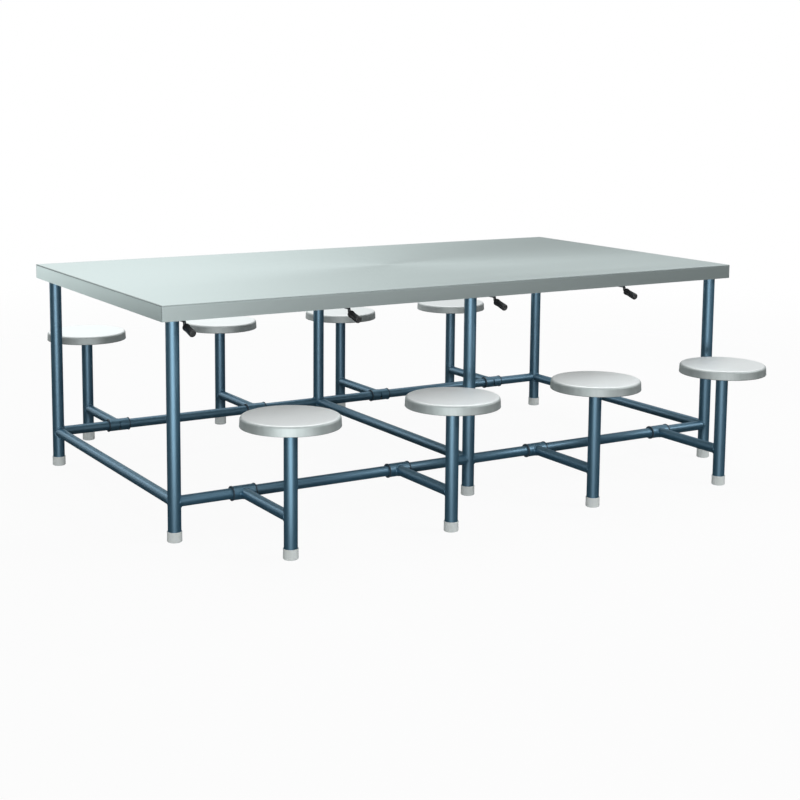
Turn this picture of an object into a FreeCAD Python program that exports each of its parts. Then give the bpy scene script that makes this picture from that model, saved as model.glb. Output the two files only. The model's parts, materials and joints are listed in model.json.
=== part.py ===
"""Canteen table for eight, with stools on swing arms, a stainless top and a blue tube frame.

Frame: +Z up, origin on the floor under the middle of the top, X along the table, the long sides at -Y and +Y.
A stool hangs on a sleeve that turns on the floor rail, so it swings up under the top for cleaning the floor. Its
pan turns on the post. A hook under each long edge turns in to hold the raised stool by its pan.
"""
import FreeCAD, Part
import Sketcher
import os
import re
from math import cos, radians, sin

DIMENSIONS = {
    # table top
    "top_length": 2300, "top_width": 1200, "top_height": 750,
    "skirt_depth": 50, "sheet_gauge": 1.2, "skirt_lip": 15,
    "corner_radius": 3, "edge_radius": 2, "lip_overlap": 0.2,
    "board_thickness": 16, "board_gap": 1,
    # bars welded under the top
    "bar_width": 40, "bar_depth": 25, "bar_wall": 1.6,
    "screw_diameter": 5, "screw_head_diameter": 9, "screw_head_height": 3, "screw_bite": 12, "screw_pitch": 320,
    # legs and floor rails
    "leg_diameter": 42.4, "leg_wall": 2, "leg_inset_x": 54, "leg_inset_y": 52,
    "rail_diameter": 35, "rail_wall": 1.6, "rail_height": 127,
    # foot caps
    "foot_height": 34, "foot_wall": 2.4, "foot_base": 5, "foot_flare": 0.8, "foot_rounding": 4, "foot_play": 0.1,
    # swing arms
    "arm_length": 332, "sleeve_diameter": 45, "sleeve_wall": 2, "sleeve_length": 76,
    "bush_length": 22, "bush_play": 0.08, "bush_flange_diameter": 48, "bush_flange_thickness": 3,
    "stop_pin_diameter": 6, "stop_pin_length": 14, "stop_pin_set": 6, "stop_play": 0.4, "swing_angle": 60,
    # stool pans
    "seat_height": 440, "seat_radius": 152.5, "seat_flare": 1.5, "seat_depth": 32, "seat_rounding": 10,
    "flange_diameter": 120, "flange_thickness": 4,
    "spindle_diameter": 20, "spindle_play": 0.05, "spindle_tail": 8,
    "collar_height": 30, "collar_head_diameter": 45, "collar_head_thickness": 3,
    "clip_diameter": 26, "clip_thickness": 1.6, "clip_groove": 1, "clip_play": 0.3,
    # stool hooks
    "hook_offset": 203, "hook_rod_diameter": 10, "hook_play": 0.08, "hook_height": 694,
    "hook_bend_radius": 8, "hook_reach": 54, "hook_drop": 0.5, "hook_tip_length": 54, "hook_tilt": 15,
    "grip_diameter": 24, "grip_length": 56, "grip_cover": 50, "grip_rounding": 5,
    "hook_stem_top": 714, "hook_setback": 10,
    "hook_plate_length": 24, "hook_plate_width": 30, "hook_plate_thickness": 6, "hook_plate_lap": 7,
    "push_nut_diameter": 16, "push_nut_thickness": 1.2,
}
DERIVED = {
    "seat_pitch": "=top_length / 4",
    "leg_x": "=top_length / 2 - leg_inset_x",
    "leg_y": "=top_width / 2 - leg_inset_y",
    "board_underside": "=top_height - sheet_gauge - board_thickness",
    "bar_underside": "=board_underside - bar_depth",
    "post_top": "=seat_height - sheet_gauge - flange_thickness",
    "leg_radius": "=leg_diameter / 2",
    "rail_radius": "=rail_diameter / 2",
    "sleeve_radius": "=sleeve_diameter / 2",
    "sleeve_bore": "=sleeve_diameter / 2 - sleeve_wall",
    "rod_radius": "=hook_rod_diameter / 2",
    "post_y": "=leg_y + arm_length",
    "hook_y": "=leg_y - bar_width / 2 - hook_setback",
}
SEATS_PER_SIDE = 4

doc = FreeCAD.newDocument("canteen_table")
sheet = doc.addObject("Spreadsheet::Sheet", "Dimensions")
for row, (alias, content) in enumerate([*DIMENSIONS.items(), *DERIVED.items()], start=1):
    sheet.set(f"A{row}", alias)
    sheet.set(f"B{row}", str(content))
    sheet.setAlias(f"B{row}", alias)
doc.recompute()

X_AXIS, Y_AXIS, Z_AXIS = FreeCAD.Vector(1, 0, 0), FreeCAD.Vector(0, 1, 0), FreeCAD.Vector(0, 0, 1)
ALONG_X = FreeCAD.Rotation(Z_AXIS, X_AXIS)
ALONG_Y = FreeCAD.Rotation(Z_AXIS, Y_AXIS)
UPRIGHT = FreeCAD.Rotation()
AGAINST_X = FreeCAD.Rotation(Z_AXIS, FreeCAD.Vector(-1, 0, 0))
HALF_TURN = FreeCAD.Rotation(Z_AXIS, 180)
nodes = []


def size(alias):
    """A number from the spreadsheet."""
    return float(getattr(sheet, alias))


def bind(feature, **expressions):
    """Binds properties to spreadsheet expressions. In a name, two underscores stand for a dot."""
    for name, expression in expressions.items():
        feature.setExpression(name.replace("__", "."), linked(expression))


def linked(expression):
    """The expression with each alias written as Dimensions.alias."""
    aliases = DIMENSIONS.keys() | DERIVED.keys()
    return re.sub(r"[a-z_]+", lambda word: f"Dimensions.{word[0]}" if word[0] in aliases else word[0],
                  str(expression))


def value(expression):
    """What an expression comes to."""
    return float(sheet.evalExpression(str(expression)))


def place(feature, x=0, y=0, z=0, turn=UPRIGHT):
    """Turns a feature, and binds its position."""
    feature.Placement = FreeCAD.Placement(FreeCAD.Vector(), turn)
    bind(feature, Placement__Base__x=x, Placement__Base__y=y, Placement__Base__z=z)
    return feature


def node(feature, name):
    """Makes a feature one of the sub-parts that are written out."""
    feature.Label = name
    nodes.append(feature)
    return feature


# ---------------------------------------------------------------- Part primitives

def rod(name, radius, height, x=0, y=0, z=0, turn=UPRIGHT):
    """A solid cylinder that starts at x, y, z."""
    feature = doc.addObject("Part::Cylinder", name)
    bind(feature, Radius=radius, Height=height)
    return place(feature, x, y, z, turn)


def block(name, length, width, height, x, y, z):
    feature = doc.addObject("Part::Box", name)
    bind(feature, Length=length, Width=width, Height=height)
    return place(feature, x, y, z)


def cut(name, base, *tools):
    """The base with one or more tools taken away."""
    tool = tools[0] if len(tools) == 1 else fuse(name + "_tools", *tools)
    feature = doc.addObject("Part::Cut", name)
    feature.Base, feature.Tool = base, tool
    return feature


def fuse(name, *shapes):
    feature = doc.addObject("Part::MultiFuse", name)
    feature.Shapes = list(shapes)
    return feature


def group(name, *solids):
    """Separate solids in one sub-part."""
    feature = doc.addObject("Part::Compound", name)
    feature.Links = list(solids)
    return feature


def tube(name, radius, wall, length, x=0, y=0, z=0, turn=UPRIGHT):
    outer = rod(name + "_outside", radius, length, x, y, z, turn)
    inner = rod(name + "_bore", f"{radius} - ( {wall} )", length, x, y, z, turn)
    return cut(name, outer, inner)


# ---------------------------------------------------------------- PartDesign features

def plane(body, role):
    return next(f for f in body.Origin.OriginFeatures if f.Role == role)


def new_sketch(body, name, role, height=0):
    sketch = body.newObject("Sketcher::SketchObject", name)
    sketch.AttachmentSupport = [(plane(body, role), "")]
    sketch.MapMode = "FlatFace"
    bind(sketch, AttachmentOffset__Base__z=height)
    return sketch


def pin_point(sketch, geometry, point, x, y):
    """Binds a sketch point's coordinates to expressions."""
    for kind, expression in (("DistanceX", x), ("DistanceY", y)):
        index = sketch.addConstraint(Sketcher.Constraint(kind, -1, 1, geometry, point, value(expression)))
        sketch.setExpression(f"Constraints[{index}]", linked(expression))


def outline(sketch, *corners):
    """A closed loop of straight lines through corners given as pairs of expressions."""
    first = sketch.GeometryCount
    points = [FreeCAD.Vector(value(x), value(y)) for x, y in corners]
    for start, end in zip(points, points[1:] + points[:1]):
        sketch.addGeometry(Part.LineSegment(start, end))
    for i, (x, y) in enumerate(corners):
        after = first + (i - 1) % len(corners)
        sketch.addConstraint(Sketcher.Constraint("Coincident", after, 2, first + i, 1))
        pin_point(sketch, first + i, 1, x, y)
    return sketch


def rectangle(sketch, half_width, half_height, x=0, y=0):
    """A rectangle round a middle point."""
    left, right = f"{x} - ( {half_width} )", f"{x} + ( {half_width} )"
    low, high = f"{y} - ( {half_height} )", f"{y} + ( {half_height} )"
    return outline(sketch, (left, low), (right, low), (right, high), (left, high))


def circle(sketch, radius, x=0, y=0):
    index = sketch.addGeometry(Part.Circle(FreeCAD.Vector(value(x), value(y)), Z_AXIS, value(radius)))
    pin_point(sketch, index, 3, x, y)
    radius_index = sketch.addConstraint(Sketcher.Constraint("Radius", index, value(radius)))
    sketch.setExpression(f"Constraints[{radius_index}]", linked(radius))
    return sketch


def new_body(name):
    return doc.addObject("PartDesign::Body", name)


def pad(body, sketch, length):
    feature = body.newObject("PartDesign::Pad", sketch.Name + "_pad")
    feature.Profile = sketch
    bind(feature, Length=length)
    sketch.Visibility = False
    doc.recompute()
    return feature


def spin(body, sketch):
    """A full turn of a profile about the sketch's own vertical axis."""
    feature = body.newObject("PartDesign::Revolution", sketch.Name + "_turn")
    feature.Profile = sketch
    feature.ReferenceAxis = (sketch, ["V_Axis"])
    feature.Angle = 360
    doc.recompute()
    return feature


def round_edges(body, radius, wanted):
    """Fillets the edges of the body's last feature that wanted(edge) picks."""
    base = body.Tip
    names = [f"Edge{i}" for i, edge in enumerate(base.Shape.Edges, start=1) if wanted(edge)]
    feature = body.newObject("PartDesign::Fillet", base.Name + "_round")
    feature.Base = (base, names)
    bind(feature, Radius=radius)
    doc.recompute()
    return feature


def hollow(body, gauge, wanted):
    """Shells the body inwards, open at the face that wanted(face) picks."""
    base = body.Tip
    names = [f"Face{i}" for i, face in enumerate(base.Shape.Faces, start=1) if wanted(face)]
    feature = body.newObject("PartDesign::Thickness", base.Name + "_shell")
    feature.Base = (base, names)
    feature.Reversed = True
    bind(feature, Value=gauge)
    doc.recompute()
    return feature


def at_height(level):
    """Picks edges or faces that lie wholly at one height."""
    return lambda shape: abs(shape.BoundBox.ZMin - level) < 1e-3 and abs(shape.BoundBox.ZMax - level) < 1e-3


def is_upright(edge):
    return edge.BoundBox.ZLength > 1 and edge.BoundBox.XLength < 1e-3 and edge.BoundBox.YLength < 1e-3


# ---------------------------------------------------------------- table top

top = new_body("top_sheet")
slab = rectangle(new_sketch(top, "top_slab", "XY_Plane", "top_height - skirt_depth"), "top_length / 2", "top_width / 2")
pad(top, slab, "skirt_depth")
round_edges(top, "corner_radius", is_upright)
round_edges(top, "edge_radius", at_height(size("top_height")))
hollow(top, "sheet_gauge", at_height(size("top_height") - size("skirt_depth")))
lip = new_sketch(top, "top_lip", "XY_Plane", "top_height - skirt_depth")
for inset in ("sheet_gauge - lip_overlap", "sheet_gauge + skirt_lip"):
    rectangle(lip, f"top_length / 2 - ( {inset} )", f"top_width / 2 - ( {inset} )")
pad(top, lip, "sheet_gauge")
node(top, "table_top")

# ---------------------------------------------------------------- board, bars and their screws

SIDE_SCREWS = [-2.5, -1.5, -0.5, 0.5, 1.5, 2.5]
LEG_PLACES = [-1, 0, 1]
SIDES = [-1, 1]


def box_bar(name, length, x, y, lengthwise):
    """A hollow rectangular bar that lies under the board, cut square at both ends."""
    width, inner = "bar_width", "bar_width - 2 * bar_wall"
    sizes = ((length, width), (length, inner)) if lengthwise else ((width, length), (inner, length))
    shells = []
    for (long_x, long_y), shrink, label in zip(sizes, ("0 * bar_wall", "bar_wall"), ("outside", "bore")):
        shells.append(block(f"{name}_{label}", long_x, long_y, f"bar_depth - 2 * {shrink}",
                            f"{x} - ( {long_x} ) / 2", f"{y} - ( {long_y} ) / 2", f"bar_underside + {shrink}"))
    return cut(name, *shells)


def screw_hole(name, x, y):
    return rod(name, "screw_diameter / 2", "bar_depth + screw_bite", x, y, "bar_underside")


def screw(name, x, y):
    """A screw with a flat head under the bar."""
    shank = rod(name + "_shank", "screw_diameter / 2", "bar_depth + screw_bite", x, y, "bar_underside")
    head = rod(name + "_head", "screw_head_diameter / 2", "screw_head_height", x, y,
               "bar_underside - screw_head_height")
    return fuse(name, shank, head)


side_spots = [(f"{i} * screw_pitch", f"{s} * leg_y") for s in SIDES for i in SIDE_SCREWS]
cross_spots = [(f"{i} * leg_x", f"{s} * leg_y / 2") for i in LEG_PLACES for s in SIDES]

side_holes = [screw_hole(f"side_hole_{i}", *spot) for i, spot in enumerate(side_spots)]
cross_holes = [screw_hole(f"cross_hole_{i}", *spot) for i, spot in enumerate(cross_spots)]
side_bars = [box_bar(f"side_bar_{i}", "2 * ( leg_x + leg_radius )", "0 * leg_x", f"{s} * leg_y", True)
             for i, s in enumerate(SIDES)]
cross_bars = [box_bar(f"cross_bar_{i}", "2 * leg_y - bar_width", f"{s} * leg_x", "0 * leg_y", False)
              for i, s in enumerate(LEG_PLACES)]
board = block("board_blank", "top_length - 2 * ( sheet_gauge + board_gap )",
              "top_width - 2 * ( sheet_gauge + board_gap )", "board_thickness",
              "sheet_gauge + board_gap - top_length / 2", "sheet_gauge + board_gap - top_width / 2",
              "board_underside")

node(cut("board", board, *side_holes, *cross_holes), "top_board")
node(cut("drilled_side_bars", group("all_side_bars", *side_bars), *side_holes), "top_side_bars")
node(cut("drilled_cross_bars", group("all_cross_bars", *cross_bars), *cross_holes), "top_cross_bars")
node(group("screws", *[screw(f"screw_{i}", *spot) for i, spot in enumerate(side_spots + cross_spots)]),
     "top_screws")

# ---------------------------------------------------------------- legs and floor rails

leg_spots = [(f"{i} * leg_x", f"{s} * leg_y") for s in SIDES for i in LEG_PLACES]
legs = [tube(f"leg_{i}", "leg_radius", "leg_wall", "bar_underside - foot_base", x, y, "foot_base")
        for i, (x, y) in enumerate(leg_spots)]
leg_cores = [rod(f"leg_core_{i}", "leg_radius", "bar_underside", x, y) for i, (x, y) in enumerate(leg_spots)]
node(group("all_legs", *legs), "legs")


def stop_pin(name, x, side):
    """A pin that stands out of a floor rail, inwards and down, in the slot of a stool's sleeve."""
    slope = radians(size("swing_angle") / 2)
    outward = FreeCAD.Rotation(Z_AXIS, FreeCAD.Vector(0, -side * cos(slope), -sin(slope)))
    start = "( rail_radius - stop_pin_set )"
    return rod(name, "stop_pin_diameter / 2", "stop_pin_length", x,
               f"{side} * leg_y - {side} * cos(swing_angle / 2) * {start}",
               f"rail_height - sin(swing_angle / 2) * {start}", outward)


STOOLS = [(f"{side}{i + 1}", sign, f"{-sign} * ( {i} - 1.5 ) * seat_pitch")
          for side, sign in (("f", -1), ("r", 1)) for i in range(SEATS_PER_SIDE)]

pins = [stop_pin(f"stop_pin_{name}", x, sign) for name, sign, x in STOOLS]
side_tubes = [tube(f"side_rail_{i}", "rail_radius", "rail_wall", "2 * leg_x", "-1 * leg_x", f"{s} * leg_y",
                   "rail_height", ALONG_X) for i, s in enumerate(SIDES)]
side_cores = [rod(f"side_core_{i}", "rail_radius", "2 * leg_x", "-1 * leg_x", f"{s} * leg_y", "rail_height", ALONG_X)
              for i, s in enumerate(SIDES)]
cross_tubes = [tube(f"cross_rail_{i}", "rail_radius", "rail_wall", "2 * leg_y", f"{s} * leg_x", "-1 * leg_y",
                    "rail_height", ALONG_Y) for i, s in enumerate(LEG_PLACES)]
node(cut("coped_side_rails", group("all_side_rails", *side_tubes), *leg_cores, *pins), "lower_side_rails")
node(cut("coped_cross_rails", group("all_cross_rails", *cross_tubes), *leg_cores, *side_cores),
     "lower_cross_rails")
node(group("all_stop_pins", *pins), "stop_pins")

# ---------------------------------------------------------------- foot cap

cap = new_body("foot_cap")
profile = new_sketch(cap, "foot_profile", "XZ_Plane")
bore, rim = "leg_radius + foot_play", "leg_radius + foot_play + foot_wall"
outline(profile, (0, 0), (f"{rim} - foot_rounding", 0), (f"{rim} - 0.3 * foot_rounding", "0.3 * foot_rounding"),
        (rim, "foot_rounding"), (f"{rim} - foot_flare", "foot_height"), (bore, "foot_height"),
        (bore, "foot_base"), (0, "foot_base"))
spin(cap, profile)
node(group("leg_feet", *[place(group(f"leg_foot_{i}", cap), x, y) for i, (x, y) in enumerate(leg_spots)]),
     "leg_feet")

# ---------------------------------------------------------------- swing arm of a front stool, middle at X = 0

def arc_slot(name):
    """The slot in a sleeve, on the side away from the post, with a round end at each limit of the swing."""
    radius, width = "sleeve_radius + 1", "( stop_pin_diameter + 2 * stop_play )"
    spokes = [FreeCAD.Vector(0, cos(slope), sin(slope))
              for slope in (radians(sign * size("swing_angle") / 2) for sign in SIDES)]
    sector = doc.addObject("Part::Cylinder", name + "_sector")
    bind(sector, Radius=radius, Height=width, Angle="swing_angle")
    fan = FreeCAD.Rotation(spokes[0], X_AXIS.cross(spokes[0]), X_AXIS, "ZXY")
    place(sector, f"-1 * {width} / 2", "-1 * leg_y", "rail_height", fan)
    ends = [rod(f"{name}_end_{i}", f"{width} / 2", radius, 0, "-1 * leg_y", "rail_height",
                FreeCAD.Rotation(Z_AXIS, spoke)) for i, spoke in enumerate(spokes)]
    return fuse(name, sector, *ends)


sleeve_at = ("sleeve_length / -2", "-1 * leg_y", "rail_height", ALONG_X)
sleeve = cut("sleeve", tube("sleeve_tube", "sleeve_radius", "sleeve_wall", "sleeve_length", *sleeve_at),
             arc_slot("sleeve_slot"))
post = tube("post", "leg_radius", "leg_wall", "post_top - collar_head_thickness - foot_base", 0, "-1 * post_y",
            "foot_base")
arm = cut("arm", tube("arm_tube", "rail_radius", "rail_wall", "arm_length", 0, "-1 * post_y", "rail_height", ALONG_Y),
          rod("sleeve_core", "sleeve_radius", "sleeve_length", *sleeve_at),
          rod("post_core", "leg_radius", "post_top", 0, "-1 * post_y"))

collar = new_body("post_collar")
profile = new_sketch(collar, "collar_profile", "XZ_Plane", "post_y")
bore, plug = "spindle_diameter / 2 + spindle_play", "leg_radius - leg_wall"
shoulder, foot = "post_top - collar_head_thickness", "post_top - collar_height"
outline(profile, (bore, foot), (plug, foot), (plug, shoulder), ("collar_head_diameter / 2", shoulder),
        ("collar_head_diameter / 2", "post_top"), (bore, "post_top"))
spin(collar, profile)
stool_frame = group("stool_frame", post, arm, sleeve, collar)

bush = new_body("rail_bush")
profile = new_sketch(bush, "bush_profile", "XZ_Plane")
bore, plug, flange = "rail_radius + bush_play", "sleeve_bore", "bush_flange_diameter / 2"
outline(profile, (bore, 0), (flange, 0), (flange, "bush_flange_thickness"), (plug, "bush_flange_thickness"),
        (plug, "bush_length"), (bore, "bush_length"))
spin(bush, profile)
reach = "( sleeve_length / 2 + bush_flange_thickness )"
stool_bushes = group("stool_bushes",
                     place(group("left_bush", bush), f"-1 * {reach}", "-1 * leg_y", "rail_height", ALONG_X),
                     place(group("right_bush", bush), reach, "-1 * leg_y", "rail_height", AGAINST_X))
stool_foot = place(group("stool_foot", cap), 0, "-1 * post_y")

# ---------------------------------------------------------------- turning pan of a front stool

pan = new_body("pan")
profile = new_sketch(pan, "pan_profile", "XZ_Plane", "post_y")
top_radius, floor = "seat_radius - seat_flare", "seat_height - seat_depth"
outline(profile, (0, "seat_height"), (top_radius, "seat_height"), ("seat_radius", floor),
        ("seat_radius - sheet_gauge", floor), (f"{top_radius} - sheet_gauge", "seat_height - seat_rounding"),
        (f"{top_radius} - seat_rounding", "seat_height - sheet_gauge"), (0, "seat_height - sheet_gauge"))
spin(pan, profile)
round_edges(pan, "seat_rounding", lambda edge: at_height(size("seat_height"))(edge) and edge.Length > 100)

spindle = new_body("spindle")
profile = new_sketch(spindle, "spindle_profile", "XZ_Plane", "post_y")
flange, journal = "flange_diameter / 2", "spindle_diameter / 2"
clip_top = "post_top - collar_height - clip_play"
outline(profile, (0, "post_top + flange_thickness"), (flange, "post_top + flange_thickness"), (flange, "post_top"),
        (journal, "post_top"), (journal, clip_top), (f"{journal} - clip_groove", clip_top),
        (f"{journal} - clip_groove", f"{clip_top} - clip_thickness"), (journal, f"{clip_top} - clip_thickness"),
        (journal, f"{clip_top} - clip_thickness - spindle_tail"),
        (0, f"{clip_top} - clip_thickness - spindle_tail"))
spin(spindle, profile)
clip = tube("clip", "clip_diameter / 2", "clip_diameter / 2 - spindle_diameter / 2 + clip_groove", "clip_thickness",
            0, "-1 * post_y", f"{clip_top} - clip_thickness")
seat = group("seat", pan, spindle, clip)

# ---------------------------------------------------------------- hook beside a front stool

plate = new_body("hook_plate")
lap_y = "-1 * leg_y + bar_width / 2 - hook_plate_lap"
sketch = new_sketch(plate, "plate_outline", "XY_Plane", "bar_underside - hook_plate_thickness")
rectangle(sketch, "hook_plate_length / 2", "hook_plate_width / 2", "-1 * hook_offset",
          f"{lap_y} + hook_plate_width / 2")
circle(sketch, "rod_radius + hook_play", "-1 * hook_offset", "-1 * hook_y")
pad(plate, sketch, "hook_plate_thickness")

hook = new_body("hook_rod")
path = new_sketch(hook, "hook_path", "YZ_Plane", "-1 * hook_offset")
TILT = radians(size("hook_tilt"))
bend, level, stem_y = size("hook_bend_radius"), size("hook_height"), -size("hook_y")
drop_y, drop_foot = stem_y - size("hook_reach"), level - bend - size("hook_drop")
along_tip = FreeCAD.Vector(0, -cos(TILT), -sin(TILT))
tip_start = FreeCAD.Vector(0, drop_y - bend + bend * sin(TILT), drop_foot - bend * cos(TILT))
tip_end = tip_start + along_tip * size("hook_tip_length")
RIGHT_ANGLE = radians(90)


def path_line(y, z, end_y, end_z):
    return Part.LineSegment(FreeCAD.Vector(y, z), FreeCAD.Vector(end_y, end_z))


def path_bend(y, z, start, end):
    return Part.ArcOfCircle(Part.Circle(FreeCAD.Vector(y, z), Z_AXIS, bend), start, end)


path.addGeometry([
    path_line(stem_y, size("hook_stem_top"), stem_y, level + bend),
    path_bend(stem_y - bend, level + bend, -RIGHT_ANGLE, 0),
    path_line(stem_y - bend, level, drop_y + bend, level),
    path_bend(drop_y + bend, level - bend, RIGHT_ANGLE, 2 * RIGHT_ANGLE),
    path_line(drop_y, level - bend, drop_y, drop_foot),
    path_bend(drop_y - bend, drop_foot, TILT - RIGHT_ANGLE, 0),
    path_line(tip_start.y, tip_start.z, tip_end.y, tip_end.z),
])
section = circle(new_sketch(hook, "hook_section", "XY_Plane", "hook_stem_top"), "rod_radius",
                 "-1 * hook_offset", "-1 * hook_y")
doc.recompute()
pipe = hook.newObject("PartDesign::AdditivePipe", "hook_pipe")
pipe.Profile = section
pipe.Spine = (path, [f"Edge{i + 1}" for i in range(path.GeometryCount)])
push_nut = tube("push_nut", "push_nut_diameter / 2", "push_nut_diameter / 2 - rod_radius", "push_nut_thickness",
                "-1 * hook_offset", "-1 * hook_y", "bar_underside")
catch_hook = group("catch_hook", hook, push_nut)

grip = new_body("grip_sleeve")
profile = new_sketch(grip, "grip_profile", "XZ_Plane")
skin = "grip_diameter / 2"
outline(profile, ("rod_radius", 0), (skin, 0), (skin, "grip_length - grip_rounding"),
        (f"{skin} - 0.3 * grip_rounding", "grip_length - 0.3 * grip_rounding"),
        (f"{skin} - grip_rounding", "grip_length"), (0, "grip_length"), (0, "grip_cover"),
        ("rod_radius", "grip_cover"))
spin(grip, profile)
grip_start = tip_end - along_tip * size("grip_cover")
hook_grip = group("hook_grip", grip)
place(hook_grip, "-1 * hook_offset", grip_start.y, grip_start.z, FreeCAD.Rotation(Z_AXIS, along_tip))

# ---------------------------------------------------------------- a full set for each of the eight places

EACH_PLACE = {"stool_frame": stool_frame, "stool_bushes": stool_bushes, "stool_foot": stool_foot, "seat": seat,
              "catch_hook": catch_hook, "hook_grip": hook_grip}


def at_place(original, name, sign, x):
    """A front place's piece, copied to its own place on the front or, turned round, on the rear."""
    return place(group(name, original), x, 0, 0, UPRIGHT if sign < 0 else HALF_TURN)


plates = [at_place(plate, f"hook_plate_{name}", sign, x) for name, sign, x in STOOLS]
node(group("all_hook_plates", *plates), "hook_plates")
for place_name, sign, x in STOOLS:
    for kind, original in EACH_PLACE.items():
        piece_name = f"{kind}_{place_name}"
        node(at_place(original, piece_name, sign, x), piece_name)

# ---------------------------------------------------------------- recompute, verify, export

doc.recompute()
for feature in doc.Objects:
    if "Invalid" in feature.State or "Error" in feature.State:
        raise RuntimeError(f"{feature.Label} did not recompute: {feature.State}")

os.makedirs("parts", exist_ok=True)
for feature in nodes:
    shape = feature.Shape
    if shape.isNull() or not shape.isValid() or not shape.Solids:
        raise RuntimeError(f"{feature.Label} has no valid solid")
    shape.exportStep(f"parts/{feature.Label}.step")
    print(f"{feature.Label}: {len(shape.Solids)} solids, {shape.Volume / 1000:.1f} cm3")
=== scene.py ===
import bmesh
import bpy
import json
from math import atan2, cos, pi, radians, sin, sqrt
from mathutils import Matrix, Vector


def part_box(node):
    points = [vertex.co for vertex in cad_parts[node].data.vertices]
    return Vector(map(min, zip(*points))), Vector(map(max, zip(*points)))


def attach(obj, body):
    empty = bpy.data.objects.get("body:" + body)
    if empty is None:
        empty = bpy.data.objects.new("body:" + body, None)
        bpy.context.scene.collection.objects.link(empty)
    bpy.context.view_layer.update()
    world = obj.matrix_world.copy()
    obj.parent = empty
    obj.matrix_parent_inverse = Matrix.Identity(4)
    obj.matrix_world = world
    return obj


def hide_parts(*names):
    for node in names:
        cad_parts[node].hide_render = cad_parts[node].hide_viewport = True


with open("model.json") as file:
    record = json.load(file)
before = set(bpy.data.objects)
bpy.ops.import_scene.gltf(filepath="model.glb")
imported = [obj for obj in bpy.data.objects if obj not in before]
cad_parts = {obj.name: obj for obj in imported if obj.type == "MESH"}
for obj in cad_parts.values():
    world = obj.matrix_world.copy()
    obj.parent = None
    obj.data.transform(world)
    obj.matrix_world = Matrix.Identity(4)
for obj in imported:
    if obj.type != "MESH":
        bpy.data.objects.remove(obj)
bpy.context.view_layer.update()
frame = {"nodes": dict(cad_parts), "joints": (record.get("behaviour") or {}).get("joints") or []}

# ------------------------------------------------------------------ blue tube frame
# Legs, floor rails and the bars under the top are steel tube, cut to length, coped and welded. The whole
# frame is then powder coated in one smooth deep blue, with a faint orange peel.

COAT_BLUE = (0.040, 0.136, 0.220, 1)
COAT_BLUE_THIN = (0.050, 0.160, 0.252, 1)
COAT_ROUGHNESS = 0.40
COAT_METALLIC = 0.55
COAT_IOR = 2.9
COAT_GLOSS_TINT = (0.84, 0.95, 1.0, 1)
COAT_CLOUDS_PER_METRE = 7.0
PEEL_PER_METRE = 300
PEEL_HEIGHT = 0.00005
COATED_NODES = ("legs", "lower_side_rails", "lower_cross_rails", "top_side_bars", "top_cross_bars",
                "hook_plates")


def finish_nodes(name):
    """A new material: the material itself, its shader, a maker of wired nodes, and a maker of links."""
    material = bpy.data.materials.new(name)
    material.use_nodes = True
    tree = material.node_tree

    def add(kind, inputs=None, **settings):
        made = tree.nodes.new(kind)
        for key, setting in settings.items():
            setattr(made, key, setting)
        for key, value in (inputs or {}).items():
            if isinstance(value, bpy.types.NodeSocket):
                tree.links.new(value, made.inputs[key])
            else:
                made.inputs[key].default_value = value
        return made

    return material, tree.nodes["Principled BSDF"], add, tree.links.new


def blue_powder_coat():
    material, shader, add, link = finish_nodes("blue_powder_coat")
    place = add("ShaderNodeTexCoord").outputs["Object"]
    clouds = add("ShaderNodeTexNoise", {"Vector": place, "Scale": COAT_CLOUDS_PER_METRE, "Detail": 4.0,
                                        "Roughness": 0.6})
    colour = add("ShaderNodeMix", {0: clouds.outputs["Fac"], 6: COAT_BLUE, 7: COAT_BLUE_THIN},
                 data_type="RGBA")
    link(colour.outputs[2], shader.inputs["Base Color"])
    gloss = add("ShaderNodeMapRange", {"Value": clouds.outputs["Fac"], "To Min": COAT_ROUGHNESS - 0.04,
                                       "To Max": COAT_ROUGHNESS + 0.06})
    link(gloss.outputs["Result"], shader.inputs["Roughness"])
    peel = add("ShaderNodeTexNoise", {"Vector": place, "Scale": PEEL_PER_METRE, "Detail": 2.0})
    bump = add("ShaderNodeBump", {"Height": peel.outputs["Fac"], "Distance": PEEL_HEIGHT, "Strength": 0.5})
    link(bump.outputs["Normal"], shader.inputs["Normal"])
    shader.inputs["Metallic"].default_value = COAT_METALLIC
    shader.inputs["IOR"].default_value = COAT_IOR
    shader.inputs["Specular Tint"].default_value = COAT_GLOSS_TINT
    return material


def dress(node_name, material):
    """Gives one of the CAD nodes its finish."""
    mesh = frame["nodes"][node_name].data
    mesh.materials.clear()
    mesh.materials.append(material)


BLUE_COAT = blue_powder_coat()
for node_name in COATED_NODES:
    dress(node_name, BLUE_COAT)

# ------------------------------------------------------------------ places of the stools
# Four stools stand along each long side. Their posts and the rail they swing on are found from the joints and
# the legs from their box, so that every new piece sits on what carries it.

PLACES = [f"{side}{number}" for side in "fr" for number in (1, 2, 3, 4)]
JOINT_AT = {joint["name"]: Vector(joint["pos_m"]) for joint in frame["joints"]}
LEG_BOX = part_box("legs")
LEG_RADIUS = 0.0212
RAIL_RADIUS = 0.0175
SLEEVE_RADIUS = 0.0225
LEG_X = LEG_BOX[1].x - LEG_RADIUS
LEG_Y = LEG_BOX[1].y - LEG_RADIUS


def side_of(place):
    """-1 for the front long side and 1 for the rear one."""
    return -1 if place.startswith("f") else 1


# ------------------------------------------------------------------ weld beads
# A fillet weld runs right round each coped tube end, laid in short overlapping ripples and coated with the
# frame. Its line is the saddle where the thin tube meets the thick one.

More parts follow.
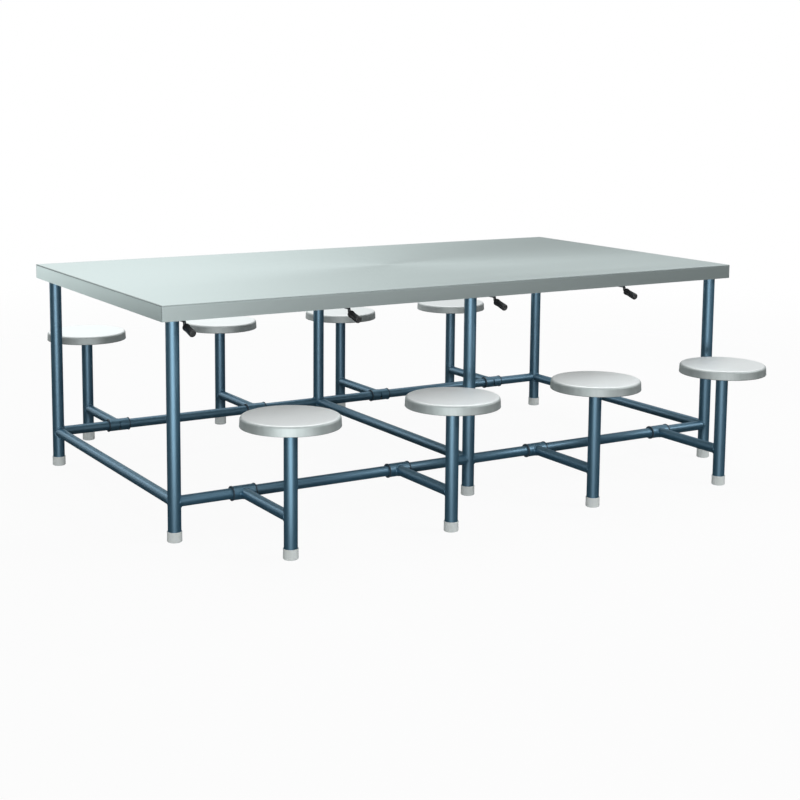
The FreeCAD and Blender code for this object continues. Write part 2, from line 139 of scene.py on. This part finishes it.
BEAD_RADIUS = 0.0024
BEAD_SIDES = 10
BEAD_STEPS = 72
BEAD_STANDOFF = 0.0004
BEAD_RIPPLES = 26
BEAD_RIPPLE_DEPTH = 0.16
BEAD_LINE = RAIL_RADIUS + BEAD_STANDOFF
RAIL_HEIGHT = JOINT_AT["stool_swing_f1"].z


def new_piece(name, mesh_maker, material, body):
    """A finished mesh object that rides on a body. mesh_maker fills an empty bmesh with its shape."""
    mesh = bpy.data.meshes.new(name)
    bm = bmesh.new()
    mesh_maker(bm)
    bmesh.ops.recalc_face_normals(bm, faces=bm.faces)
    for face in bm.faces:
        face.smooth = True
    bm.to_mesh(mesh)
    bm.free()
    mesh.materials.append(material)
    piece = bpy.data.objects.new(name, mesh)
    bpy.context.collection.objects.link(piece)
    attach(piece, body)
    return piece


def add_bead(bm, centre, run, thick_axis, thick_radius):
    """A weld bead where a tube as thin as a floor rail meets a thicker one that passes through centre. run
    points along the thin tube, away from the thick one."""
    run, thick_axis = Vector(run).normalized(), Vector(thick_axis).normalized()
    across = run.cross(thick_axis)
    ring = bmesh.ops.create_circle(bm, cap_ends=False, segments=BEAD_SIDES, radius=BEAD_RADIUS)["verts"]
    bmesh.ops.transform(bm, verts=ring, matrix=Matrix.Translation((BEAD_LINE, 0, 0))
                        @ Matrix.Rotation(pi / 2, 4, "X"))
    edges = list({edge for vert in ring for edge in vert.link_edges})
    before = set(bm.verts) - set(ring)
    bmesh.ops.spin(bm, geom=ring + edges, cent=(0, 0, 0), axis=(0, 0, 1), angle=2 * pi, steps=BEAD_STEPS,
                   use_merge=True)
    made = [vert for vert in bm.verts if vert not in before]
    facing = Matrix((across, thick_axis, run)).transposed().to_4x4()
    for vert in made:
        turn = atan2(vert.co.y, vert.co.x)
        ripple = 1 + BEAD_RIPPLE_DEPTH * abs(sin(turn * BEAD_RIPPLES / 2))
        middle = Vector((cos(turn), sin(turn), 0)) * BEAD_LINE
        vert.co = middle + (vert.co - middle) * ripple
        vert.co.z += sqrt(max(thick_radius ** 2 - (RAIL_RADIUS * cos(turn)) ** 2, 0))
        vert.co = centre + facing @ vert.co


def frame_beads(bm):
    for side in (-1, 1):
        for x in (-LEG_X, 0, LEG_X):
            centre = Vector((x, side * LEG_Y, RAIL_HEIGHT))
            inward = [run for run in ((-1, 0, 0), (1, 0, 0)) if x * run[0] < LEG_X]
            for run in [*inward, (0, -side, 0)]:
                add_bead(bm, centre, run, (0, 0, 1), LEG_RADIUS)


new_piece("frame_weld_beads", frame_beads, BLUE_COAT, "frame")

# ------------------------------------------------------------------ swing arms
# A stool's post, arm and sleeve are coated steel tube, as the frame is. The arm is coped and welded to the
# other two, and the sleeve turns on the floor rail, so that the whole stool swings up.

for place in PLACES:
    dress(f"stool_frame_{place}", BLUE_COAT)
    side = side_of(place)
    rail_spot = JOINT_AT[f"stool_swing_{place}"]
    post_spot = JOINT_AT[f"seat_turn_{place}"].copy()
    post_spot.z = RAIL_HEIGHT

    def arm_beads(bm):
        add_bead(bm, post_spot, (0, -side, 0), (0, 0, 1), LEG_RADIUS)
        add_bead(bm, rail_spot, (0, side, 0), (1, 0, 0), SLEEVE_RADIUS)

    new_piece(f"stool_weld_beads_{place}", arm_beads, BLUE_COAT, f"stool_{place}")

# ------------------------------------------------------------------ bushes, pins and screws
# The sleeves run on flanged bushes of dark moulded nylon. Pins, screws and hook rods are zinc plated steel,
# dulled by handling.

NYLON_GREY, NYLON_LIGHT = (0.030, 0.055, 0.078, 1), (0.042, 0.072, 0.098, 1)
ZINC_GREY, ZINC_LIGHT = (0.20, 0.21, 0.22, 1), (0.30, 0.31, 0.32, 1)
ROD_GREY, ROD_LIGHT = (0.055, 0.060, 0.066, 1), (0.09, 0.095, 0.10, 1)
MOTTLES_PER_METRE = 40.0


def mottled(name, colour, lighter, roughness, metallic, grain_per_metre, grain_height):
    """A plain finish with faint mottling and a fine grain."""
    material, shader, add, link = finish_nodes(name)
    place = add("ShaderNodeTexCoord").outputs["Object"]
    clouds = add("ShaderNodeTexNoise", {"Vector": place, "Scale": MOTTLES_PER_METRE, "Detail": 5.0,
                                        "Roughness": 0.6})
    tone = add("ShaderNodeMix", {0: clouds.outputs["Fac"], 6: colour, 7: lighter}, data_type="RGBA")
    link(tone.outputs[2], shader.inputs["Base Color"])
    matt = add("ShaderNodeMapRange", {"Value": clouds.outputs["Fac"], "To Min": roughness - 0.06,
                                      "To Max": roughness + 0.08})
    link(matt.outputs["Result"], shader.inputs["Roughness"])
    grain = add("ShaderNodeTexNoise", {"Vector": place, "Scale": grain_per_metre, "Detail": 2.0})
    bump = add("ShaderNodeBump", {"Height": grain.outputs["Fac"], "Distance": grain_height, "Strength": 0.5})
    link(bump.outputs["Normal"], shader.inputs["Normal"])
    shader.inputs["Metallic"].default_value = metallic
    return material


DARK_NYLON = mottled("dark_nylon", NYLON_GREY, NYLON_LIGHT, 0.45, 0.0, 900, 0.00003)
ZINC = mottled("zinc_plate", ZINC_GREY, ZINC_LIGHT, 0.36, 0.9, 600, 0.00002)
DARK_ROD = mottled("dark_rod_steel", ROD_GREY, ROD_LIGHT, 0.38, 0.7, 600, 0.00002)

dress("stop_pins", ZINC)
dress("top_screws", ZINC)
for place in PLACES:
    dress(f"stool_bushes_{place}", DARK_NYLON)
    dress(f"catch_hook_{place}", DARK_ROD)

# ------------------------------------------------------------------ turned pieces
# Foot caps, pans, spindles and grips are all round. Each is drawn as half a section, with its ends on the
# axis, and spun about that axis, so that it comes out closed.

TURNED_STEPS = 64
WELD_DISTANCE = 1e-6


def spin_section(bm, section, place, steps=TURNED_STEPS, tilt=None):
    """Spins a half section of (radius, height) points about +Z, then stands it at place, with its axis along
    tilt if one is given."""
    before = set(bm.verts)
    verts = [bm.verts.new((radius, 0, height)) for radius, height in section]
    edges = [bm.edges.new(pair) for pair in zip(verts, verts[1:])]
    bmesh.ops.spin(bm, geom=verts + edges, cent=(0, 0, 0), axis=(0, 0, 1), angle=2 * pi, steps=steps,
                   use_merge=True)
    made = [vert for vert in bm.verts if vert not in before]
    bmesh.ops.remove_doubles(bm, verts=made, dist=WELD_DISTANCE)
    made = [vert for vert in bm.verts if vert not in before]
    turn = Vector(tilt).to_track_quat("Z", "Y").to_matrix().to_4x4() if tilt else Matrix.Identity(4)
    bmesh.ops.transform(bm, verts=made, matrix=Matrix.Translation(place) @ turn)


def rounded(centre, radius, start, end, steps=6):
    """Points of an arc about a centre, from angle start to angle end in degrees."""
    angles = [radians(start + (end - start) * i / steps) for i in range(steps + 1)]
    return [(centre[0] + radius * cos(angle), centre[1] + radius * sin(angle)) for angle in angles]


# ------------------------------------------------------------------ foot caps
# Each leg and post stands in a cap of pale grey moulded plastic, pushed over the tube. It has a rounded tread
# and a slightly thicker lip.

CAP_GREY, CAP_LIGHT = (0.66, 0.705, 0.695, 1), (0.75, 0.79, 0.78, 1)
CAP_GLOW_THROUGH = 0.08
CAP_GLOW_REACH = (0.004, 0.004, 0.003)
CAP_HEIGHT = 0.034
CAP_RADIUS = 0.0237
CAP_BORE = LEG_RADIUS + 0.0001
CAP_FLOOR = 0.005
CAP_TAPER = 0.0005
LIP_HEIGHT = 0.0055
LIP_ROUNDING = 0.0012
TREAD_ROUNDING = 0.0045

CAP_PLASTIC = mottled("pale_cap_plastic", CAP_GREY, CAP_LIGHT, 0.42, 0.0, 700, 0.00004)
cap_shader = CAP_PLASTIC.node_tree.nodes["Principled BSDF"]
cap_shader.inputs["Subsurface Weight"].default_value = CAP_GLOW_THROUGH
cap_shader.inputs["Subsurface Radius"].default_value = CAP_GLOW_REACH

CAP_SECTION = [
    (0, 0), *rounded((CAP_RADIUS - TREAD_ROUNDING, TREAD_ROUNDING), TREAD_ROUNDING, -90, 0),
    (CAP_RADIUS - CAP_TAPER, CAP_HEIGHT - LIP_HEIGHT - 0.001),
    (CAP_RADIUS - 0.0001, CAP_HEIGHT - LIP_HEIGHT),
    *rounded((CAP_RADIUS - LIP_ROUNDING, CAP_HEIGHT - LIP_ROUNDING), LIP_ROUNDING, 0, 90, 3),
    (CAP_BORE, CAP_HEIGHT - 0.0005), (CAP_BORE, CAP_FLOOR), (0, CAP_FLOOR),
]


def leg_caps(bm):
    for x in (-LEG_X, 0, LEG_X):
        for side in (-1, 1):
            spin_section(bm, CAP_SECTION, (x, side * LEG_Y, 0))


caps = new_piece("leg_foot_caps", leg_caps, CAP_PLASTIC, "frame")
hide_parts("leg_feet")
for place in PLACES:
    post = JOINT_AT[f"seat_turn_{place}"]
    at = (post.x, post.y, 0)
    cap = new_piece(f"stool_foot_cap_{place}", lambda bm: spin_section(bm, CAP_SECTION, at), CAP_PLASTIC,
                    f"stool_{place}")
    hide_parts(f"stool_foot_{place}")

# ------------------------------------------------------------------ stool pans
# A pan is pressed from one disc of stainless steel, with a brushed seat, a duller flared skirt and an edge
# rolled in. The seat is painted lighter and the skirt darker, as painted light and painted shade on one sheet
# of steel, and the skirt carries painted reflection streaks. A plate welded under it carries the spindle.
# Both are drawn a hair small, clear of the post's collar while the stool swings.

PAN_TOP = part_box("seat_f1")[1].z
PAN_RADIUS = 0.1525
PAN_FLARE = 0.0015
PAN_DEPTH = 0.032
PAN_ROUNDING = 0.0090
PAN_GAUGE = 0.0012
PAN_ROLL = 0.0020
SEAT_RINGS = (0.060, 0.120)
PLATE_RADIUS = 0.060
PLATE_THICKNESS = 0.0038
PLATE_BEVEL = 0.0005
SPINDLE_RADIUS = 0.0096
SPINDLE_BEVEL = 0.001
SPINDLE_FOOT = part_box("seat_f1")[0].z
PAN_STEPS = 144
# The skirt's tones are painted darker as painted shade, and the seat's tones lighter as painted light.
SKIRT_SHADED_DARK, SKIRT_SHADED_LIGHT = (0.45, 0.495, 0.49, 1), (0.54, 0.575, 0.575, 1)
SEAT_LIT_DARK, SEAT_LIT_LIGHT = (0.88, 0.905, 0.91, 1), (0.94, 0.96, 0.965, 1)
SEAT_ROUGHNESS, SKIRT_ROUGHNESS = 0.48, 0.64
SKIRT_FROM, SKIRT_FULL = PAN_RADIUS - 0.0095, PAN_RADIUS - 0.0030
RING_GRAIN = (700, 1.5, 300)      # grain per metre outwards, per radian round and per metre up
# Scale of the skirt's streaks, which are painted bright and dark as painted reflections.
REFLECTION_STREAK_GRAIN = (0.5, 4.5, 8)

PAN_RIM = PAN_RADIUS - PAN_FLARE
SKIRT_FOOT = PAN_TOP - PAN_DEPTH
UNDER_SEAT = PAN_TOP - PAN_GAUGE
UNDER_PLATE = PAN_TOP - PAN_GAUGE - PLATE_THICKNESS
PAN_SECTION = [
    (0, PAN_TOP), *((ring, PAN_TOP) for ring in SEAT_RINGS), (PAN_RIM - PAN_ROUNDING - 0.004, PAN_TOP),
    *reversed(rounded((PAN_RIM - PAN_ROUNDING, PAN_TOP - PAN_ROUNDING), PAN_ROUNDING, 0, 90, 8)),
    (PAN_RADIUS - 0.0004, SKIRT_FOOT + PAN_ROLL + 0.002),
    *reversed(rounded((PAN_RADIUS - PAN_ROLL, SKIRT_FOOT + PAN_ROLL), PAN_ROLL, -180, 0, 10)),
    (PAN_RADIUS - 2 * PAN_ROLL, SKIRT_FOOT + 2 * PAN_ROLL),
    (PAN_RIM - PAN_GAUGE, SKIRT_FOOT + 2.2 * PAN_ROLL), (PAN_RIM - PAN_GAUGE, PAN_TOP - PAN_ROUNDING),
    (PAN_RIM - PAN_ROUNDING, UNDER_SEAT), (0, UNDER_SEAT),
]
SPINDLE_SECTION = [
    (0, UNDER_SEAT), (PLATE_RADIUS - PLATE_BEVEL, UNDER_SEAT),
    (PLATE_RADIUS, UNDER_SEAT - PLATE_BEVEL), (PLATE_RADIUS, UNDER_PLATE + PLATE_BEVEL),
    (PLATE_RADIUS - PLATE_BEVEL, UNDER_PLATE), (SPINDLE_RADIUS, UNDER_PLATE),
    (SPINDLE_RADIUS, SPINDLE_FOOT + SPINDLE_BEVEL), (SPINDLE_RADIUS - SPINDLE_BEVEL, SPINDLE_FOOT),
    (0, SPINDLE_FOOT),
]


def pan_steel(place, centre):
    """Brushed stainless steel: fine rings on the seat, painted light on the seat, and painted shade and
    painted reflection streaks round the skirt.
    """
    material, shader, add, link = finish_nodes(f"pan_steel_{place}")
    spot = add("ShaderNodeTexCoord").outputs["Object"]
    centred = add("ShaderNodeMapping", {"Vector": spot, "Location": (-centre.x, -centre.y, 0)}).outputs[0]
    split = add("ShaderNodeSeparateXYZ", {0: centred})
    flat = add("ShaderNodeCombineXYZ", {0: split.outputs[0], 1: split.outputs[1]})
    radius = add("ShaderNodeVectorMath", {0: flat.outputs[0]}, operation="LENGTH").outputs["Value"]
    angle = add("ShaderNodeMath", {0: split.outputs[1], 1: split.outputs[0]}, operation="ARCTAN2").outputs[0]
    polar = add("ShaderNodeCombineXYZ", {0: radius, 1: angle, 2: split.outputs[2]}).outputs[0]
    rings = add("ShaderNodeTexNoise", {"Scale": 1.0, "Detail": 3.0, "Roughness": 0.6, "Vector": add(
        "ShaderNodeMapping", {"Vector": polar, "Scale": RING_GRAIN}).outputs[0]})
    # Broad streaks round the skirt, painted bright and dark as painted reflections.
    painted_reflection_streaks = add("ShaderNodeTexNoise", {"Scale": 1.0, "Detail": 4.0, "Roughness": 0.55, "Vector": add(
        "ShaderNodeMapping", {"Vector": polar, "Scale": REFLECTION_STREAK_GRAIN}).outputs[0]})
    skirt = add("ShaderNodeMapRange", {"Value": radius, "From Min": SKIRT_FROM,
                                       "From Max": SKIRT_FULL}).outputs["Result"]
    tone = add("ShaderNodeMapRange", {"Value": painted_reflection_streaks.outputs["Fac"], "From Min": 0.3,
                                      "From Max": 0.7}).outputs["Result"]
    # The skirt is painted darker as painted shade and the seat lighter as painted light, though both are one
    # sheet of steel.
    shaded_skirt_tone = add("ShaderNodeMix", {0: tone, 6: SKIRT_SHADED_DARK, 7: SKIRT_SHADED_LIGHT}, data_type="RGBA").outputs[2]
    lit_seat_tone = add("ShaderNodeMix", {0: rings.outputs["Fac"], 6: SEAT_LIT_DARK, 7: SEAT_LIT_LIGHT},
                    data_type="RGBA").outputs[2]
    colour = add("ShaderNodeMix", {0: skirt, 6: lit_seat_tone, 7: shaded_skirt_tone}, data_type="RGBA")
    link(colour.outputs[2], shader.inputs["Base Color"])
    gloss = add("ShaderNodeMapRange", {"Value": skirt, "To Min": SEAT_ROUGHNESS, "To Max": SKIRT_ROUGHNESS})
    link(gloss.outputs["Result"], shader.inputs["Roughness"])
    bump = add("ShaderNodeBump", {"Height": rings.outputs["Fac"], "Distance": 0.00002, "Strength": 0.35})
    link(bump.outputs["Normal"], shader.inputs["Normal"])
    shader.inputs["Metallic"].default_value = 1.0
    return material


for place in PLACES:
    post = JOINT_AT[f"seat_turn_{place}"]
    at = (post.x, post.y, 0)
    pan = new_piece(f"seat_pan_{place}", lambda bm: spin_section(bm, PAN_SECTION, at, PAN_STEPS),
                    pan_steel(place, post), f"pan_{place}")
    new_piece(f"seat_spindle_{place}", lambda bm: spin_section(bm, SPINDLE_SECTION, at), ZINC,
              f"pan_{place}")
    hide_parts(f"seat_{place}")

# ------------------------------------------------------------------ hook grips
# A soft black rubber sleeve is pushed over each hook's tip. It has a thicker collar where the rod goes in, a
# slight waist and a rounded nose.

GRIP_RADIUS = 0.012
GRIP_LENGTH = 0.056
GRIP_COVER = 0.0502               # how far the rod reaches into the sleeve
ROD_RADIUS = 0.005
COLLAR_END, WAIST_FROM = 0.007, 0.0078
COLLAR_ROUNDING = 0.0015
NOSE_ROUNDING = 0.005
GRIP_STEPS = 48
GRIP_BLACK, GRIP_WORN = (0.010, 0.011, 0.012, 1), (0.020, 0.021, 0.023, 1)
HOOK_TILT = radians(15)

GRIP_RUBBER = mottled("black_grip_rubber", GRIP_BLACK, GRIP_WORN, 0.42, 0.0, 1200, 0.00005)
GRIP_SECTION = [
    (0, GRIP_COVER), (ROD_RADIUS, GRIP_COVER), (ROD_RADIUS, 0.0004),
    *reversed(rounded((GRIP_RADIUS - COLLAR_ROUNDING, COLLAR_ROUNDING), COLLAR_ROUNDING, 0, -90, 3)),
    (GRIP_RADIUS, COLLAR_END), (GRIP_RADIUS - 0.0009, WAIST_FROM), (GRIP_RADIUS - 0.0012, 0.020),
    (GRIP_RADIUS - 0.0008, 0.034), (GRIP_RADIUS - 0.0004, GRIP_LENGTH - 0.006),
    *rounded((GRIP_RADIUS - 0.0054, GRIP_LENGTH - NOSE_ROUNDING), NOSE_ROUNDING, 0, 90), (0, GRIP_LENGTH),
]
for place in PLACES:
    low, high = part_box(f"hook_grip_{place}")
    tip_run = Vector((0, side_of(place) * cos(HOOK_TILT), -sin(HOOK_TILT)))
    start = (low + high) / 2 - tip_run * GRIP_LENGTH / 2
    grip = new_piece(f"grip_sleeve_{place}",
                     lambda bm: spin_section(bm, GRIP_SECTION, start, GRIP_STEPS, tip_run),
                     GRIP_RUBBER, f"hook_{place}")
    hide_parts(f"hook_grip_{place}")

# ------------------------------------------------------------------ table top
# The top is one stainless sheet, brushed along its length and folded down all round into a deep skirt with a
# lip. It is glued over a core board that stiffens and deadens it.

BRUSH_ALONG, BRUSH_ACROSS = 2.5, 420       # grain per metre
STREAK_ALONG, STREAK_ACROSS = 0.6, 9.0
TOP_GREY = (0.580, 0.660, 0.656, 1)
TOP_GREY_LIGHT = (0.635, 0.712, 0.709, 1)
TOP_ROUGH_FROM, TOP_ROUGH_TO = 0.30, 0.44
# Along each fold edge and corner a thin band is painted darker as a painted shade line. The band is also made
# rougher.
FOLD_SHADE_GREY = (0.36, 0.41, 0.41, 1)
FOLD_SHADE_WIDTH = 0.005                         # a band along each edge, made rougher and painted darker as a painted shade line
FOLD_ROUGHNESS = 0.62
TOP_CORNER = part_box("table_top")[1]


def brushed_steel():
    material, shader, add, link = finish_nodes("brushed_top_steel")
    place = add("ShaderNodeTexCoord").outputs["Object"]
    grain_at = add("ShaderNodeMapping", {"Vector": place, "Scale": (BRUSH_ALONG, BRUSH_ACROSS, BRUSH_ACROSS)})
    grain = add("ShaderNodeTexNoise", {"Vector": grain_at.outputs[0], "Scale": 1.0, "Detail": 4.0,
                                       "Roughness": 0.65})
    wide_at = add("ShaderNodeMapping", {"Vector": place,
                                        "Scale": (STREAK_ALONG, STREAK_ACROSS, STREAK_ACROSS)})
    wide = add("ShaderNodeTexNoise", {"Vector": wide_at.outputs[0], "Scale": 1.0, "Detail": 3.0})
    both = add("ShaderNodeMix", {0: 0.4, 2: grain.outputs["Fac"], 3: wide.outputs["Fac"]})
    tone = add("ShaderNodeMix", {0: both.outputs[0], 6: TOP_GREY, 7: TOP_GREY_LIGHT}, data_type="RGBA")
    rough = add("ShaderNodeMapRange", {"Value": both.outputs[0], "To Min": TOP_ROUGH_FROM,
                                       "To Max": TOP_ROUGH_TO})

    def pick(operation, first, second):
        return add("ShaderNodeMath", {0: first, 1: second}, operation=operation).outputs[0]

    # Distance to the nearest fold edge, for the band that is painted darker as painted shade and made
    # rougher.
    spot = add("ShaderNodeVectorMath", {0: place}, operation="ABSOLUTE").outputs[0]
    inward = add("ShaderNodeVectorMath", {0: TOP_CORNER, 1: spot}, operation="SUBTRACT").outputs[0]
    split = add("ShaderNodeSeparateXYZ", {0: inward}).outputs
    folds = [pick("MAXIMUM", split[a], split[b]) for a, b in ((0, 1), (1, 2), (0, 2))]
    nearest = pick("MINIMUM", pick("MINIMUM", folds[0], folds[1]), folds[2])
    fold_shade_band = add("ShaderNodeMapRange", {"Value": nearest, "From Min": FOLD_SHADE_WIDTH,
                                      "From Max": FOLD_SHADE_WIDTH / 2}).outputs["Result"]
    shade = add("ShaderNodeMix", {0: fold_shade_band, 6: tone.outputs[2], 7: FOLD_SHADE_GREY}, data_type="RGBA")
    link(shade.outputs[2], shader.inputs["Base Color"])
    matt = add("ShaderNodeMix", {0: fold_shade_band, 2: rough.outputs["Result"], 3: FOLD_ROUGHNESS})
    link(matt.outputs[0], shader.inputs["Roughness"])
    bump = add("ShaderNodeBump", {"Height": grain.outputs["Fac"], "Distance": 0.00002, "Strength": 0.3})
    link(bump.outputs["Normal"], shader.inputs["Normal"])
    shader.inputs["Metallic"].default_value = 1.0
    shader.inputs["Anisotropic"].default_value = 0.4
    return material


dress("table_top", brushed_steel())

BOARD_PALE, BOARD_LIGHT = (0.60, 0.58, 0.54, 1), (0.68, 0.66, 0.62, 1)
dress("top_board", mottled("core_board", BOARD_PALE, BOARD_LIGHT, 0.6, 0.0, 350, 0.0001))

# ------------------------------------------------------------------ studio
# A pale floor that fades into a white background. A low wide lamp in front draws the bright stripe on each
# tube, two small lamps stand at the corners and a wide soft one hangs overhead. Cards that only gloss sees,
# pale and dark, give the steel its shades and the tubes their dark edges.

FLOOR_RADIUS = 9.0
FLOOR_STEPS = 96
FLOOR_PALE = (0.93, 0.935, 0.94, 1)
FLOOR_ROUGHNESS = 0.9
FLOOR_SPECULAR = 0.1
FLOOR_FADES_FROM, FLOOR_FADES_TO = 2.6, 6.0
FLOOR_GLOW = 0.94
SKY_LEVEL = 0.32
WHITE = (1, 1, 1, 1)


def floor_finish():
    material, shader, add, link = finish_nodes("pale_floor")
    shader.inputs["Base Color"].default_value = FLOOR_PALE
    shader.inputs["Roughness"].default_value = FLOOR_ROUGHNESS
    shader.inputs["Specular IOR Level"].default_value = FLOOR_SPECULAR
    path = add("ShaderNodeLightPath")
    shiny = add("ShaderNodeMath", {0: path.outputs["Is Glossy Ray"], 1: path.outputs["Is Transmission Ray"]},
                operation="MAXIMUM")
    seen = add("ShaderNodeMath", {0: path.outputs["Is Camera Ray"], 1: shiny.outputs[0]}, operation="MAXIMUM")
    glow = add("ShaderNodeEmission", {"Color": WHITE, "Strength": 1.0})
    share = add("ShaderNodeMath", {0: seen.outputs[0], 1: FLOOR_GLOW}, operation="MULTIPLY")
    lit = add("ShaderNodeMixShader", {0: share.outputs[0], 1: shader.outputs[0], 2: glow.outputs[0]})
    place = add("ShaderNodeTexCoord").outputs["Object"]
    away = add("ShaderNodeVectorMath", {0: place}, operation="LENGTH").outputs["Value"]
    fade = add("ShaderNodeMapRange", {"Value": away, "From Min": FLOOR_FADES_FROM,
                                      "From Max": FLOOR_FADES_TO}, interpolation_type="SMOOTHSTEP")
    clear = add("ShaderNodeBsdfTransparent")
    mix = add("ShaderNodeMixShader", {0: fade.outputs["Result"], 1: lit.outputs[0], 2: clear.outputs[0]})
    link(mix.outputs[0], material.node_tree.nodes["Material Output"].inputs["Surface"])
    return material


bpy.ops.mesh.primitive_circle_add(vertices=FLOOR_STEPS, radius=FLOOR_RADIUS, fill_type="NGON")
floor = bpy.context.object
floor.name = "floor"
floor.data.materials.append(floor_finish())

world = bpy.data.worlds.new("studio")
bpy.context.scene.world = world
world.use_nodes = True
sky = world.node_tree.nodes["Background"]
sky_nodes, sky_link = world.node_tree.nodes, world.node_tree.links.new
path = sky_nodes.new("ShaderNodeLightPath")
seen = sky_nodes.new("ShaderNodeMath")
seen.operation = "MAXIMUM"
sky_link(path.outputs["Is Camera Ray"], seen.inputs[0])
shiny = sky_nodes.new("ShaderNodeMath")
shiny.operation = "MAXIMUM"
sky_link(path.outputs["Is Glossy Ray"], shiny.inputs[0])
sky_link(path.outputs["Is Transmission Ray"], shiny.inputs[1])
sky_link(shiny.outputs[0], seen.inputs[1])
level = sky_nodes.new("ShaderNodeMapRange")
level.inputs["To Min"].default_value = SKY_LEVEL
sky_link(seen.outputs[0], level.inputs["Value"])
sky_link(level.outputs["Result"], sky.inputs["Strength"])
sky.inputs["Color"].default_value = WHITE


def lamp(name, place, aim, width, height, power):
    """A rectangular lamp that the camera doesn't see, aimed from its place, with its power in watts."""
    light = bpy.data.lights.new(name, "AREA")
    light.shape = "RECTANGLE"
    light.size, light.size_y, light.energy = width, height, power
    holder = bpy.data.objects.new(name, light)
    holder.location = place
    holder.rotation_euler = (Vector(aim) - Vector(place)).to_track_quat("-Z", "Y").to_euler()
    holder.visible_camera = False
    bpy.context.collection.objects.link(holder)


lamp("front_lamp", (-4.6, -7.9, 0.45), (0, 0, 0.40), 6.4, 0.8, 240)
lamp("right_lamp", (3.7, -4.1, 3.3), (0, -0.3, 0.1), 1.6, 1.6, 75)
lamp("rear_lamp", (-3.0, 5.5, 3.1), (-0.5, 0, 0.1), 1.6, 1.6, 20)
lamp("overhead_lamp", (0.4, 0.7, 5.0), (0.4, 0.6, 0.5), 6.6, 5.2, 82)

CARD_GREY = (0.93, 1.0, 0.99, 1)


def grey_card(name, place, aim, width, height, shade, far_shade=None, run=None):
    """A card that only gloss sees. With a far shade, its grey changes along run, which is a direction and the
    two distances where the change starts and ends."""
    bpy.ops.mesh.primitive_plane_add(size=1)
    card = bpy.context.object
    card.name = name
    facing = (Vector(aim) - Vector(place)).to_track_quat("Z", "Y").to_matrix().to_4x4()
    card.data.transform(Matrix.Translation(place) @ facing @ Matrix.Diagonal((width, height, 1, 1)))
    material, _, add, link = finish_nodes(name)
    grey = add("ShaderNodeEmission", {"Color": CARD_GREY, "Strength": shade})
    if run:
        spot = add("ShaderNodeTexCoord").outputs["Object"]
        along = add("ShaderNodeVectorMath", {0: spot, 1: run[0]}, operation="DOT_PRODUCT").outputs["Value"]
        change = add("ShaderNodeMapRange", {"Value": along, "From Min": run[1], "From Max": run[2],
                                            "To Min": shade, "To Max": far_shade},
                     interpolation_type="SMOOTHSTEP")
        link(change.outputs["Result"], grey.inputs["Strength"])
    link(grey.outputs[0], material.node_tree.nodes["Material Output"].inputs["Surface"])
    card.data.materials.append(material)
    card.visible_camera = card.visible_diffuse = card.visible_shadow = card.visible_transmission = False


grey_card("floor_card", (0, 0, 0.002), (0, 0, 5), 18, 18, 0.22, 2.2, ((-0.50, 0.86, 0), 4.9, 7.0))
grey_card("dark_floor_card", (0, 0, 0.004), (0, 0, 5), 8.0, 7.6, 0.025)
grey_card("bright_floor_card", (-2.3, -2.6, 0.006), (-2.3, -2.6, 5), 2.9, 2.6, 2.5)
grey_card("right_floor_card", (5.2, -5.6, 0.004), (5.2, -5.6, 5), 5.0, 3.4, 0.42)
grey_card("back_card", (4.6, 7.0, 3.0), (0, 0, 1.8), 14.0, 4.2, 1.12, 0.36, ((0.84, -0.55, 0), -3.2, 1.6))
grey_card("low_back_card", (4.4, 6.7, 0.45), (0, 0, 0.45), 14.0, 0.9, 0.03)
grey_card("left_card", (-7.0, 1.5, 2.0), (0, 0, 1.2), 12.0, 4.0, 0.12)
grey_card("right_card", (7.5, -3.5, 2.0), (0, 0, 1.2), 12.0, 4.0, 0.05)
grey_card("ceiling_card", (0, -6.0, 5.5), (0, -2, 0), 16.0, 9.0, 0.45)

# ------------------------------------------------------------------ camera
# The camera stands off the table's near left corner, a little higher than the top, and looks slightly down.
# Its frame is shifted, so that the upright tubes stay nearly upright.

CAMERA_AT = (-2.8397, -4.7231, 1.3995)
CAMERA_TURN, CAMERA_DOWN, CAMERA_ROLL = radians(-31.475), radians(7.700), radians(0.511)
FOCAL_PIXELS, HORIZON_SHIFT, FRAME_PIXELS = 1486.6, 110, 800
SENSOR_WIDTH = 36
SEES_TO = 60

bpy.ops.object.camera_add()
camera = bpy.context.object
camera.matrix_world = (Matrix.Translation(CAMERA_AT) @ Matrix.Rotation(CAMERA_TURN, 4, "Z")
                       @ Matrix.Rotation(pi / 2 - CAMERA_DOWN, 4, "X") @ Matrix.Rotation(CAMERA_ROLL, 4, "Z"))
camera.data.sensor_width = SENSOR_WIDTH
camera.data.lens = SENSOR_WIDTH * FOCAL_PIXELS / FRAME_PIXELS
camera.data.shift_y = -HORIZON_SHIFT / FRAME_PIXELS
camera.data.clip_end = SEES_TO
bpy.context.scene.camera = camera
bpy.context.scene.view_settings.view_transform = "Standard"
